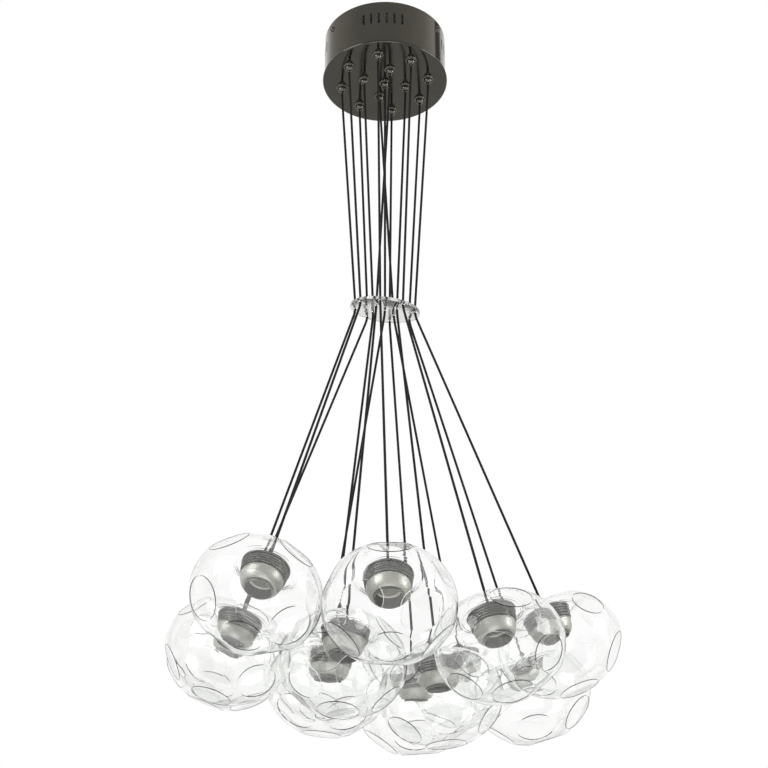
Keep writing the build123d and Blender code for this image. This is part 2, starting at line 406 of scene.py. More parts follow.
def bumped(tree, shader, value, strength, distance):
    """A bump from a height value, wired to the shader's normal."""
    bump = tree.nodes.new("ShaderNodeBump")
    bump.inputs["Strength"].default_value = strength
    bump.inputs["Distance"].default_value = distance
    tree.links.new(value, bump.inputs["Height"])
    tree.links.new(bump.outputs["Normal"], shader.inputs["Normal"])


def shade(tone, by):
    """A colour made lighter or darker by a factor."""
    return tuple(min(1.0, c * by) for c in tone)


def metal(name, tone, roughness, cloud=60.0, spread=0.12, grain=(1, 1, 1)):
    """A plated metal with a faint cloud in its colour and its polish."""
    material, tree, shader = new_material(name)
    cloudy = noise(tree, cloud, 4.0, grain)
    tree.links.new(
        two_tone(tree, cloudy, shade(tone, 1 - spread), shade(tone, 1 + spread)),
        shader.inputs["Base Color"],
    )
    shader.inputs["Metallic"].default_value = 1.0
    tree.links.new(
        ramped(tree, cloudy, roughness * 0.75, roughness * 1.3), shader.inputs["Roughness"]
    )
    bumped(tree, shader, noise(tree, cloud * 4, 2.0, grain), 0.04, 0.0004)
    return material


def moulded(name, tone, roughness):
    """A moulded plastic with a fine even texture."""
    material, tree, shader = new_material(name)
    cloudy = noise(tree, 90.0)
    tree.links.new(
        two_tone(tree, cloudy, shade(tone, 0.88), shade(tone, 1.12)), shader.inputs["Base Color"]
    )
    tree.links.new(
        ramped(tree, cloudy, roughness * 0.8, roughness * 1.2), shader.inputs["Roughness"]
    )
    bumped(tree, shader, noise(tree, 900.0, 2.0), 0.08, 0.0002)
    return material


def woven_cord(name, tone):
    """A sheath of fine braid: two crossed waves on the tube's own map."""
    material, tree, shader = new_material(name)
    place = tree.nodes.new("ShaderNodeUVMap")
    place.uv_map = "cord_map"
    heights = []
    for side in (1, -1):
        mapping = tree.nodes.new("ShaderNodeMapping")
        mapping.inputs["Scale"].default_value = (side * 4.0, 1.0, 1.0)
        wave = tree.nodes.new("ShaderNodeTexWave")
        wave.wave_type = "BANDS"
        wave.bands_direction = "DIAGONAL"
        wave.inputs["Scale"].default_value = 1.0
        tree.links.new(place.outputs["UV"], mapping.inputs["Vector"])
        tree.links.new(mapping.outputs["Vector"], wave.inputs["Vector"])
        heights.append(wave.outputs["Fac"])
    height = math(tree, "MAXIMUM", *heights)
    # The colour follows the braid's height, darker in the grooves and lighter on the crests:
    # painted shade and painted highlight
    tree.links.new(
        two_tone(tree, height, shade(tone, 0.6), shade(tone, 2.2)), shader.inputs["Base Color"]
    )
    shader.inputs["Roughness"].default_value = 0.6
    shader.inputs["Specular IOR Level"].default_value = 0.25
    bumped(tree, shader, height, 0.5, 0.0003)
    return material


def clear(name, tone, edge, ior, edge_power, roughness=0.0, sheen=0.5):
    """A clear solid whose colour darkens where it is seen along its surface, as painted shade in
    place of the grey rims that refraction and reflection give it.

    Shadow rays pass it with a light tint, so that what is behind stays lit."""
    material, tree, shader = new_material(name)
    facing = tree.nodes.new("ShaderNodeLayerWeight")
    facing.inputs["Blend"].default_value = 0.5
    along = math(tree, "POWER", facing.outputs["Facing"], edge_power)
    # The colour runs from the tint to the edge colour as the surface turns away: painted shade at
    # the rims
    tree.links.new(two_tone(tree, along, tone, edge), shader.inputs["Base Color"])
    shader.inputs["Transmission Weight"].default_value = 1.0
    shader.inputs["Specular IOR Level"].default_value = sheen
    shader.inputs["IOR"].default_value = ior
    shader.inputs["Roughness"].default_value = roughness
    path = tree.nodes.new("ShaderNodeLightPath")
    passing = tree.nodes.new("ShaderNodeBsdfTransparent")
    passing.inputs["Color"].default_value = (*shade(tone, 0.95), 1)
    mix = tree.nodes.new("ShaderNodeMixShader")
    output = tree.nodes["Material Output"]
    tree.links.new(path.outputs["Is Shadow Ray"], mix.inputs["Fac"])
    tree.links.new(shader.outputs["BSDF"], mix.inputs[1])
    tree.links.new(passing.outputs["BSDF"], mix.inputs[2])
    tree.links.new(mix.outputs["Shader"], output.inputs["Surface"])
    return material


def finish_of(scene, name):
    """The material of that name, made the first time it is asked for."""
    made = bpy.data.materials.get(name)
    if made:
        return made
    tones = scene.finish_colours
    makers = {
        "nickel_plating": lambda: metal(name, tones.nickel, 0.12),
        # The same plating made darker for the floor: painted shade
        "nickel_underside_painted_shade": lambda: metal(name, shade(tones.nickel, UNDERSIDE_PAINTED_SHADE), 0.12),
        "dark_lid": lambda: metal(name, tones.lid, 0.28, cloud=120.0, spread=0.2),
        "grey_cup": lambda: metal(
            name, tones.cup, 0.42, cloud=90.0, spread=0.15, grain=(1, 1, 4)
        ),
        "zinc": lambda: metal(name, tones.zinc, 0.3, cloud=150.0, spread=0.2),
        "screw_shell": lambda: metal(name, SHELL_TONE, 0.3),
        "grey_socket": lambda: moulded(name, tones.socket, 0.25),
        "ceramic": lambda: moulded(name, tones.insert, 0.3),
        "white_block": lambda: moulded(name, tones.block, 0.5),
        "braided_cord": lambda: woven_cord(name, tones.cord),
        "blown_glass": lambda: clear(name, tones.glass, GLASS_GRAZING_PAINTED_SHADE, GLASS_IOR, 3.5, sheen=0.12),
        "polished_acrylic": lambda: clear(
            name, tones.acrylic, ACRYLIC_GRAZING_PAINTED_SHADE, ACRYLIC_IOR, 2.5, roughness=0.08
        ),
    }
    return makers[name]()


# ---------------------------------------------------------------- canopy


def slot_outline(width, height, count):
    """A stadium from the foot of its right side round: even steps along each side, and
    even steps of angle round each cap."""
    straight = (height - width) / 2
    radius = width / 2
    corners = count // 4
    half_side = np.linspace(-straight, straight, corners + 1)
    cap = np.linspace(0, np.pi, corners + 1)
    right = np.stack([np.full(corners + 1, radius), half_side], 1)
    top = np.stack([radius * np.cos(cap), straight + radius * np.sin(cap)], 1)
    left = -right
    bottom = -top
    return np.concatenate([right[:-1], top[:-1], left[:-1], bottom[:-1]])


def cell_outline(width, height, count):
    """The rectangle round a slot, with as many points on each side as the slot has."""
    corners = count // 4
    x = np.linspace(-width / 2, width / 2, corners + 1)
    y = np.linspace(-height / 2, height / 2, corners + 1)
    right = np.stack([np.full(corners + 1, width / 2), y], 1)
    top = np.stack([x[::-1], np.full(corners + 1, height / 2)], 1)
    left = np.stack([np.full(corners + 1, -width / 2), y[::-1]], 1)
    bottom = np.stack([x, np.full(corners + 1, -height / 2)], 1)
    return np.concatenate([right[:-1], top[:-1], left[:-1], bottom[:-1]])


def vented_wall(sizes, low):
    """The drum's wall as a map of (arc, height) wrapped on the cylinder.

    Plain bands are a grid. Round each slot, a ring of points blends from the slot's
    outline to its cell: p = (1 - k) slot + k cell."""
    steps, columns_between, rings = 6, 17, 5
    pitch = np.radians(sizes.vent_pitch)
    group_turns = np.radians(sizes.vent_turn + 360 / VENT_GROUPS * np.arange(VENT_GROUPS))
    group_step = TAU / VENT_GROUPS
    half = VENTS_PER_GROUP * pitch / 2
    cell_h = sizes.vent_height + VENT_MARGIN
    z_mid = -sizes.vent_depth
    band = z_mid + np.linspace(-cell_h / 2, cell_h / 2, steps + 1)
    above = np.linspace(band[-1], 0.0, 6)
    below = np.linspace(low, band[0], 12)
    points, faces, count = [], [], 0

    def add(grid, quads):
        nonlocal count
        points.append(grid)
        faces.extend((quads + count).tolist())
        count += len(grid)

    # Angles: fine over the groups, whose cells share them, and even between the groups
    angles, cells = [], []
    for turn in group_turns:
        first = turn - half
        over = first + pitch / steps * np.arange(VENTS_PER_GROUP * steps + 1)
        between = np.linspace(over[-1], turn + group_step - half, columns_between)[1:-1]
        angles += [over, between]
        cells += [first + pitch * (i + 0.5) for i in range(VENTS_PER_GROUP)]
    angles = np.concatenate(angles)

    def wrapped(turn, z):
        return np.stack([sizes.radius * np.cos(turn), sizes.radius * np.sin(turn), z], -1)

    for rows in (above, below):
        turn, z = np.meshgrid(angles, rows)
        add(wrapped(turn, z).reshape(-1, 3), grid_quads(len(rows), len(angles)))
    # The slots' band between the groups
    for turn in group_turns:
        between = np.linspace(turn + half, turn + group_step - half, columns_between)
        t, z = np.meshgrid(between, band)
        add(wrapped(t, z).reshape(-1, 3), grid_quads(len(band), len(between), closed=False))
    outline = slot_outline(sizes.vent_width, sizes.vent_height, 4 * steps)
    cell = cell_outline(pitch * sizes.radius, cell_h, 4 * steps)
    blend = np.linspace(0, 1, rings)[:, None, None]
    flat = ((1 - blend) * outline + blend * cell).reshape(-1, 2)
    for middle in cells:
        add(
            wrapped(middle + flat[:, 0] / sizes.radius, z_mid + flat[:, 1]),
            grid_quads(rings, 4 * steps)[:, ::-1],
        )
    return np.concatenate(points), faces


def weld(piece, distance=0.00002):
    """Merges a piece's doubled points and turns its faces outwards."""
    work = bmesh.new()
    work.from_mesh(piece.data)
    bmesh.ops.remove_doubles(work, verts=work.verts, dist=distance)
    bmesh.ops.recalc_face_normals(work, faces=work.faces)
    work.to_mesh(piece.data)
    work.free()
    piece.data.shade_smooth()
    return piece


def applied(piece):
    """Bakes a piece's modifiers into its mesh."""
    graph = bpy.context.evaluated_depsgraph_get()
    mesh = bpy.data.meshes.new_from_object(piece.evaluated_get(graph))
    piece.modifiers.clear()
    piece.data = mesh
    return piece


def thickened(piece, thickness):
    """Gives a sheet its wall, inwards."""
    solidify = piece.modifiers.new("wall", "SOLIDIFY")
    solidify.thickness = thickness * MM
    solidify.offset = -1.0
    solidify.use_even_offset = True
    return applied(piece)


def smooth_by_angle(piece, angle):
    """Smooth shading with edges sharper than the angle kept crisp."""
    piece.data.shade_smooth()
    piece.data.set_sharp_from_angle(angle=np.radians(angle))
    return piece


def joined(shapes):
    """Many shapes, each a pair of points and faces, as one."""
    points, faces, count = [], [], 0
    for shape_points, shape_faces in shapes:
        points.append(shape_points)
        faces += [[i + count for i in face] for face in shape_faces]
        count += len(shape_points)
    return np.concatenate(points), faces


def carve(piece, cutter):
    """Takes a closed cutter out of a piece, and removes the cutter."""
    boolean = piece.modifiers.new("cut", "BOOLEAN")
    boolean.operation = "DIFFERENCE"
    boolean.solver = "EXACT"
    boolean.object = cutter
    bpy.context.view_layer.update()
    applied(piece)
    bpy.data.objects.remove(cutter)
    return piece


def cut(piece, shapes):
    """Takes closed shapes, each a pair of points and faces, out of a piece at once."""
    return carve(piece, weld(mesh_piece("cutter", *joined(shapes))))


def cut_holes(piece, places, radius, depth, direction):
    """Cuts round holes through a piece, each along the Z of a 3 x 3 direction."""
    pin, faces = lathe([(0, -depth), (radius, -depth), (radius, depth), (0, depth)], 40)
    return cut(piece, [(placed(pin, place_of(direction, place)), faces) for place in places])


class BuildCanopy(bpy.types.Operator):
    """Builds the drum canopy: the vented wall, the floor with its bead, and the side screws."""

    bl_idname = "cluster_pendant.canopy"
    bl_label = "Canopy"

    def execute(self, context):
        scene = context.scene
        sizes = scene.canopy_sizes
        nickel = finish_of(scene, "nickel_plating")
        radius, wall, bead = sizes.radius, sizes.wall, sizes.bead
        bead_top = FLOOR_Z + 2 * bead
        drum = mesh_piece(
            "canopy_wall",
            *vented_wall(sizes, bead_top - 0.4),
            stands_for=["canopy"],
            material=nickel,
            slot="black_nickel",
        )
        thickened(weld(drum), wall)
        smooth_by_angle(drum, 40)
        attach(drum, ROOT)

        # The floor nests in the wall, and its flat is split at radii 40 and 80
        nest, floor_top = radius - wall - 0.1, FLOOR_Z + wall
        lower = [(r, FLOOR_Z) for r in (0, 40, 80)]
        edge = arc((radius, FLOOR_Z + bead), bead, -90, 90, 13)
        upper = [(nest, bead_top), (nest, floor_top), (80, floor_top), (0, floor_top)]
        profile = np.concatenate([lower, edge, upper])
        # The floor's plating is a darker copy of the wall's: painted shade on the underside
        plate = mesh_piece(
            "canopy_floor",
            *lathe(profile, 160),
            stands_for=["canopy"],
            material=finish_of(scene, "nickel_underside_painted_shade"),
            slot="black_nickel",
        )
        weld(plate)
        places = [(*grip, FLOOR_Z) for grip, *_ in cord_places(scene)]
        cut_holes(plate, places, radius=5.1, depth=4.0, direction=np.eye(3))
        smooth_by_angle(plate, 35)
        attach(plate, ROOT)
        self.side_screws(sizes, nickel)
        return {"FINISHED"}

    def side_screws(self, sizes, nickel):
        """Three domed screws, one at the back and one to each side of the front.

        A screw is turned along the drum's radius: point = z out + x side + y up."""
        face = sizes.radius
        head_top, head_radius, shank_radius, shank_end = face + 3.6, 5.6, 2.0, face - 6.5
        crown = rounded([(0, head_top), (3.2, head_top), (head_radius, face)], 2.4, 6)
        shank = [(shank_radius, face), (shank_radius, shank_end), (0, shank_end)]
        local, faces = lathe([*crown, *shank], 40)
        x, y, z = local[:, :1], local[:, 1:2], local[:, 2:]
        for name, turn in SIDE_SCREW_TURNS.items():
            a = np.radians(turn)
            out, side = np.array([np.cos(a), np.sin(a), 0]), np.array([-np.sin(a), np.cos(a), 0])
            points = z * out + x * side + y * (0, 0, 1) + (0, 0, SIDE_SCREW_Z)
            screw = mesh_piece(
                f"side_screw_{name}",
                points,
                faces,
                ROOT,
                ["canopy_side_screws"],
                nickel,
                "black_nickel",
            )
            weld(screw)
            smooth_by_angle(screw, 35)


class BuildInside(bpy.types.Operator):
    """Finishes the strap, the terminal block and the locknuts inside the canopy."""

    bl_idname = "cluster_pendant.inside"
    bl_label = "Inside the canopy"

    def execute(self, context):
        finishes = {
            "ceiling_strap": "zinc",
            "grip_locknuts": "zinc",
            "terminal_block": "white_block",
        }
        for node, finish in finishes.items():
            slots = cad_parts[node].data.materials
            slots.clear()
            slots.append(finish_of(context.scene, finish))
        return {"FINISHED"}


class BuildGrips(bpy.types.Operator):
    """Builds the thirteen cord grips: a flange, a dome and a nose on a threaded tube."""

    bl_idname = "cluster_pendant.grips"
    bl_label = "Cord grips"

    def execute(self, context):
        scene = context.scene
        nose = FLOOR_Z - GRIP_H
        dome_radius, tube_radius, tube_top = 6.6, 5.0, FLOOR_Z + GRIP_TUBE_H
        body = [
            (CORD_BORE, nose),
            (3.2, nose),
            (3.4, nose + 4.0),
            (5.4, nose + 5.0),
            (dome_radius, nose + 7.6),
            (dome_radius, nose + 11.3),
            (9.3, nose + 11.5),
            (9.5, FLOOR_Z),
            (tube_radius, FLOOR_Z),
            (tube_radius, tube_top),
            (CORD_BORE, tube_top),
            (CORD_BORE, nose),
        ]
        local, faces = lathe(rounded(body, 1.0), 36)
        copies = [(local + (*grip, 0), faces) for grip, *_ in cord_places(scene)]
        grips = mesh_piece(
            "cord_grips_turned",
            *joined(copies),
            ROOT,
            ["cord_grips"],
            finish_of(scene, "nickel_plating"),
            "black_nickel",
        )
        weld(grips)
        smooth_by_angle(grips, 40)
        return {"FINISHED"}


class BuildDisc(bpy.types.Operator):
    """Builds the clear spreader disc with its polished edge and thirteen holes."""

    bl_idname = "cluster_pendant.disc"
    bl_label = "Spreader disc"

    def execute(self, context):
        scene = context.scene
        sizes = scene.disc_sizes
        half = sizes.thickness / 2
        profile = rounded(
            [(0, -half), (sizes.radius, -half), (sizes.radius, half), (0, half)], 0.8, 5
        )
        matrix = disc_matrix(sizes)
        local, faces = lathe(profile, 144)
        disc = mesh_piece(
            "spreader_disc_polished",
            placed(local, matrix),
            faces,
            stands_for=["spreader_disc"],
            material=finish_of(scene, "polished_acrylic"),
            slot="clear_acrylic",
        )
        weld(disc)
        holes = [hole for _, _, hole, _ in cord_places(scene)]
        cut_holes(disc, holes, sizes.hole, depth=8.0, direction=matrix[:3, :3])
        smooth_by_angle(disc, 35)
        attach(disc, ROOT)
        return {"FINISHED"}


# ---------------------------------------------------------------- cords


def spline_points(name, route):
    """The points of the smooth line that a route's points control."""
    curve = bpy.data.curves.new(name, "CURVE")
    curve.dimensions = "3D"
    curve.resolution_u = 10
    spline = curve.splines.new("NURBS")
    spline.points.add(len(route) - 1)
    spline.points.foreach_set("co", np.column_stack([route, np.ones(len(route))]).ravel())
    spline.order_u = 3
    spline.use_endpoint_u = True
    holder = bpy.data.objects.new(name, curve)
    bpy.context.scene.collection.objects.link(holder)
    bpy.context.view_layer.update()
    mesh = bpy.data.meshes.new_from_object(holder)
    points = np.empty(len(mesh.vertices) * 3)
    mesh.vertices.foreach_get("co", points)
    bpy.data.objects.remove(holder)
    bpy.data.curves.remove(curve)
    bpy.data.meshes.remove(mesh)
    return points.reshape(-1, 3)


def tube(path, radius, sides):
    """A round tube: path + radius (cos t side + sin t up), with flat ends.

    side and up are square to the path's own direction at each point."""
    ahead = np.gradient(path, axis=0)
    ahead /= np.linalg.norm(ahead, axis=1)[:, None]
    side = np.cross(ahead, (0.0, 1.0, 0.0))
    side /= np.linalg.norm(side, axis=1)[:, None]
    up = np.cross(ahead, side)
    turn = TAU * np.arange(sides) / sides
    rings = (
        path[:, None]
        + radius * np.cos(turn)[None, :, None] * side[:, None]
        + radius * np.sin(turn)[None, :, None] * up[:, None]
    )
    points = np.concatenate([rings.reshape(-1, 3), path[:1], path[-1:]])
    faces = grid_quads(len(path), sides).tolist()
    middle = len(path) * sides
    here, nxt = np.arange(sides), (np.arange(sides) + 1) % sides
    faces += np.stack([np.full(sides, middle), nxt, here], 1).tolist()
    end = middle - sides
    faces += np.stack([np.full(sides, middle + 1), end + here, end + nxt], 1).tolist()
    return points, faces


def map_tube(piece, path, sides, pitch):
    """A map round (u) and along (v) the tube, one v for each pitch of length."""
    mesh = piece.data
    along = np.concatenate([[0], np.cumsum(np.linalg.norm(np.diff(path, axis=0), axis=1))])
    layer = mesh.uv_layers.new(name="cord_map")
    corners = np.empty(len(mesh.loops), int)
    mesh.loops.foreach_get("vertex_index", corners)
    side = corners % sides / sides
    row = np.minimum(corners // sides, len(path) - 1)
    layer.data.foreach_set("uv", np.stack([side, along[row] / pitch], 1).ravel())


class BuildCords(bpy.types.Operator):
    """Builds the thirteen cords, each from its grip through the disc to its lampholder."""

    bl_idname = "cluster_pendant.cords"
    bl_label = "Cords"

    def execute(self, context):
        scene = context.scene
        radius = scene.pendant_sizes.cord
        sides, near = 14, 12 * radius
        places = hangs(scene)
        for number, (grip, nose, _, bend) in zip(PENDANTS, cord_places(scene)):
            matrix = places[number]
            down = unit(bend - nose)
            away = -matrix[:3, 2]
            end = matrix[:3, 3] + matrix[:3, 2] * SOCKET_TOP
            route = np.array(
                [
                    (*grip, CORD_TOP_Z),
                    nose,
                    nose + down * near,
                    bend - down * near,
                    bend,
                    bend + away * near,
                    end,
                ]
            )
            path = spline_points("route", route * MM) / MM
            points, faces = tube(path, radius, sides)
            cord = mesh_piece(
                f"flex_{number}",
                points,
                faces,
                stands_for=["upper_cords", f"cord_{number}"],
                material=finish_of(scene, "braided_cord"),
                slot="black_cord",
            )
            map_tube(cord, path, sides, 2 * radius)
            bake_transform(cord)
        return {"FINISHED"}


# ---------------------------------------------------------------- pendants


def lid_profile():
    """The spun lid: a rolled rim, a step, a flat top, and a hollow below."""
    rim, step, hollow = 32.4, 30.0, 26.5
    under = SEAT_Z + 3.0
    return [
        (hollow, SEAT_Z),
        (31.7, SEAT_Z),
        (rim, SEAT_Z + 1.4),
        (31.8, under),
        (step, SEAT_Z + 3.3),
        (29.6, LID_TOP),
        (CORD_BORE, LID_TOP),
        (CORD_BORE, under),
        (hollow, under),
        (hollow, SEAT_Z),
    ]


def relief_profile():
    """The strain relief on the lid: a foot, a waist, a bead and a tapered nose."""
    foot, waist, bead, height = 7.0, 5.4, 6.4, 10.5
    return [
        (CORD_BORE, LID_TOP),
        (foot, LID_TOP),
        (foot, LID_TOP + 2.6),
        (waist, LID_TOP + 3.2),
        (waist, LID_TOP + 4.2),
        (bead, LID_TOP + 4.6),
        (bead, LID_TOP + 7.2),
        (5.6, LID_TOP + 9.2),
        (4.2, LID_TOP + height),
        (CORD_BORE, LID_TOP + height),
        (CORD_BORE, LID_TOP),
    ]


def collar_profile():
    """The threaded collar that holds the glass: four broad ridges, each a little narrower."""
    bore, first_radius, narrowing, pitch, groove = 28.3, 31.2, 0.45, 3.5, 1.6
    ridges = []
    for i in range(4):
        z, r = COLLAR_TOP - pitch * i, first_radius - narrowing * i
        ridges += [(r, z), (r, z - 1.9), (r - groove, z - 2.5), (r - groove, z - 3.2)]
    end = [(29.2, COLLAR_END), (bore, COLLAR_END)]
    return [(bore, COLLAR_TOP), *ridges, *end, (bore, COLLAR_TOP)]


def cup_profile():
    """The cup: a straight neck in the collar, a double bead, then a bowl down to its end."""
    inside, neck, mouth = 26.7, 28.1, 19.1
    return [
        (inside, SEAT_Z),
        (neck, SEAT_Z),
        (neck, COLLAR_END),
        (28.4, 29.0),
        (28.4, 28.2),
        (27.5, 27.8),
        (27.9, 27.3),
        (27.7, 26.6),
        (27.2, 24.0),
        (26.3, 20.0),
        (24.8, 16.4),
        (22.8, 13.4),
        (21.5, 12.2),
        (mouth, 12.0),
        (mouth, 13.4),
        (20.8, 13.6),
        (23.4, 17.0),
        (25.0, 20.6),
        (26.2, 26.0),
        (inside, 30.0),
        (inside, SEAT_Z),
    ]


def socket_profile():
    """The lampholder's body: a thin skirt with a rolled mouth under a closed roof."""
    outside, inside = 18.9, 17.0
    return [
        (0, SOCKET_TOP),
        (18.2, SOCKET_TOP),
        (outside, SOCKET_ROOF),
        (outside, 10.0),
        (18.6, 9.0),
        (17.9, 8.7),
        (17.2, 9.2),
        (inside, 10.2),
        (inside, SOCKET_ROOF),
        (0, SOCKET_ROOF),
    ]


def insert_profile():
    """The ceramic insert: a ring round the screw shell and its roof."""
    outside, bore, mouth, top, roof = 16.8, 13.9, 23.6, 37.8, 36.6
    return [
        (0, top),
        (outside, top),
        (outside, 24.4),
        (16.0, mouth),
        (14.6, mouth),
        (bore, 24.4),
        (bore, roof),
        (0, roof),
    ]


def screw_shell():
    """The lamp's screw shell: radius = mean + depth sin(2 pi z / pitch - t).

    The inside is one wall smaller, and each end joins it to the outside."""
    mean, depth, pitch, wall, segments = 13.2, 0.4, 3.6, 0.35, 56
    z = np.linspace(25.0, 36.2, 32)
    turn = TAU * np.arange(segments) / segments
    zz, tt = np.meshgrid(z, turn, indexing="ij")
    radius = mean + depth * np.sin(TAU * zz / pitch - tt)
    outside = np.stack([radius * np.cos(tt), radius * np.sin(tt), zz], -1).reshape(-1, 3)
    inner = radius - wall
    inside = np.stack([inner * np.cos(tt), inner * np.sin(tt), zz], -1)[::-1].reshape(-1, 3)
    rows = 2 * len(z)
    join = grid_quads(2, segments)
    join[:, :2] += (rows - 1) * segments
    join[:, 2:] -= segments
    faces = grid_quads(rows, segments).tolist() + join.tolist()
    return np.concatenate([outside, inside]), faces


def contact_tongue():
    """The bent spring contact in the socket's roof: a strip along a fold of seven points,
    whose heights are averaged over five steps."""
    half_width, half_thickness, steps = 3.2, 0.5, 31
    x = np.array([-11.0, -9.0, -4.5, 0.0, 4.5, 9.0, 11.0])
    z = np.array([36.0, 35.6, 31.5, 29.5, 31.5, 35.6, 36.0])
    t, knots = np.linspace(0, 6, steps), np.arange(7)
    line_x, line_z = np.interp(t, knots, x), np.interp(t, knots, z)
    smooth = np.convolve(np.pad(line_z, 2, mode="edge"), np.ones(5) / 5, mode="valid")
    corners = [
        np.stack([line_x, np.full(steps, across * half_width), smooth + up * half_thickness], 1)
        for across, up in ((1, 1), (-1, 1), (-1, -1), (1, -1))
    ]
    last = 4 * (steps - 1)
    caps = [[3, 2, 1, 0], [last, last + 1, last + 2, last + 3]]
    return np.stack(corners, 1).reshape(-1, 3), grid_quads(steps, 4).tolist() + caps


def globe_line(sizes, rows):
    """The globe's outer line by even steps of length, and its outward normal.

    Arcs as in the solids: a flatter bottom, a rounder side, a brow that rolls over to
    the seat, and the flat seat itself up to the neck."""
    side_x = sizes.globe - sizes.side
    rise = sizes.depth - sizes.side
    bottom_r = (side_x**2 + sizes.depth**2 - sizes.side**2) / (2 * rise)
    join = np.degrees(np.arctan2(bottom_r - sizes.depth, side_x))
    bottom = arc((0, bottom_r - sizes.depth), bottom_r, -90, -join, 40)
    side = arc((side_x, 0), sizes.side, -join, join, 60)
    start = side[-1]
    ahead = unit((-np.sin(np.radians(join)), np.cos(np.radians(join))))
    chord = np.array([sizes.seat, SEAT_Z]) - start
    half_turn = np.arccos(unit(chord) @ ahead)
    brow_r = np.linalg.norm(chord) / (2 * np.sin(half_turn))
    left = np.array([-ahead[1], ahead[0]])
    centre = start + left * brow_r
    from_angle = np.degrees(np.arctan2(*(start - centre)[::-1]))
    brow = arc(centre, brow_r, from_angle, from_angle + np.degrees(2 * half_turn), 40)
    line = np.concatenate([bottom, side[1:], brow[1:], [(sizes.seat - 2, SEAT_Z - 0.1)]])
    along = np.concatenate([[0], np.cumsum(np.linalg.norm(np.diff(line, axis=0), axis=1))])
    even = np.linspace(0, along[-1], rows)
    line = np.stack([np.interp(even, along, line[:, i]) for i in (0, 1)], 1)
    ahead = np.gradient(line, axis=0)
    normal = np.stack([ahead[:, 1], -ahead[:, 0]], 1)
    normal /= np.linalg.norm(normal, axis=1)[:, None]
    normal[0] = (0, -1)
    return line, normal


def dimple_places(sizes, turn):
    """Where the thumbprints sit: one below, five round the lower half, five above.

    Their latitudes wander by 4 or 5 degrees and their sizes by a tenth, as by hand."""
    lower_row, upper_row, row_count, stagger = -36.0, 21.0, 5, 0.45
    spots = [(-90.0, 0.0, 1.0)]
    for i in range(row_count):
        wide, narrow = 1.05 + 0.1 * np.sin(3.1 * i + turn), 0.96 + 0.08 * np.cos(2.3 * i + turn)
        low = lower_row + 4 * np.cos(2.1 * i + turn)
        high = upper_row + 5 * np.cos(1.7 * i + turn)
        spots.append((low, turn + TAU * i / row_count, wide))
        spots.append((high, turn + TAU * (i + stagger) / row_count, narrow))
    places = []
    for latitude, longitude, scale in spots:
        lat = np.radians(latitude)
        reach = 1 / np.hypot(np.cos(lat) / sizes.globe, np.sin(lat) / sizes.depth)
        r, z = reach * np.cos(lat), reach * np.sin(lat)
        point = np.array([r * np.cos(longitude), r * np.sin(longitude), z])
        normal = unit([point[0] / sizes.globe**2, point[1] / sizes.globe**2, z / sizes.depth**2])
        places.append((point, normal, scale * sizes.dimple))
    return places


def thumbs(sizes, turn, below):
    """The shapes that press the dimples: a lens whose lower side is a ball of the dish's
    radius, sunk until it meets the globe along a ring, and lowered once more by a wall."""
    shapes = []
    lens_top = 12.0
    curve = 0.5 * (sizes.globe + sizes.depth)
    for point, normal, radius in dimple_places(sizes, turn):
        sink = radius**2 / 2 * (1 / curve + 1 / sizes.dish) + below
        reach = np.linspace(0, 1.35 * radius, 13)
        line = [(q, q**2 / (2 * sizes.dish) - sink) for q in reach]
        local, faces = lathe([*line, (reach[-1], lens_top), (0, lens_top)], 72)
        shapes.append((placed(local, standing(point, normal, (0.1, 1.0, 0.2))), faces))
    return shapes


def blown_globe(sizes, turn, material):
    """A globe at its own centre: the turned body less the dimples, less a void that is one
    wall smaller, dimpled as deep, and open at the neck.

    The void's surface wanders by a slow sum of waves, and is true again at the seat."""
    line, normal = globe_line(sizes, 64)
    segments = 144
    wave_count, wave_length, fade_height, fade_reach = 7, 60.0, 38.0, 6.0
    body = [*line, (0, SEAT_Z)]
    globe = mesh_piece("blown", *lathe(body, segments), material=material)
    cut(weld(globe), thumbs(sizes, turn, 0.0))
    inner = line - normal * sizes.glass
    neck = [(sizes.neck, SEAT_Z - sizes.glass), (sizes.neck, SEAT_Z + 6), (0, SEAT_Z + 6)]
    points, faces = lathe([*inner, *neck], segments)
    random = np.random.default_rng(int(1000 * turn) + 5)
    waves = random.normal(size=(wave_count, 3)) * (TAU / wave_length)
    phases = random.uniform(0, TAU, wave_count)
    ripple = np.sin(points @ waves.T + phases).sum(1) / 3 * sizes.ripple
    ripple *= np.clip((fade_height - points[:, 2]) / fade_reach, 0, 1)
    points = points * (1 + ripple / np.linalg.norm(points, axis=1))[:, None]
    void = cut(weld(mesh_piece("void", points, faces)), thumbs(sizes, turn, sizes.glass))
    carve(globe, void)
    local = np.empty(len(globe.data.vertices) * 3)
    globe.data.vertices.foreach_get("co", local)
    faces = [tuple(face.vertices) for face in globe.data.polygons]
    bpy.data.objects.remove(globe)
    return local.reshape(-1, 3) / MM, faces


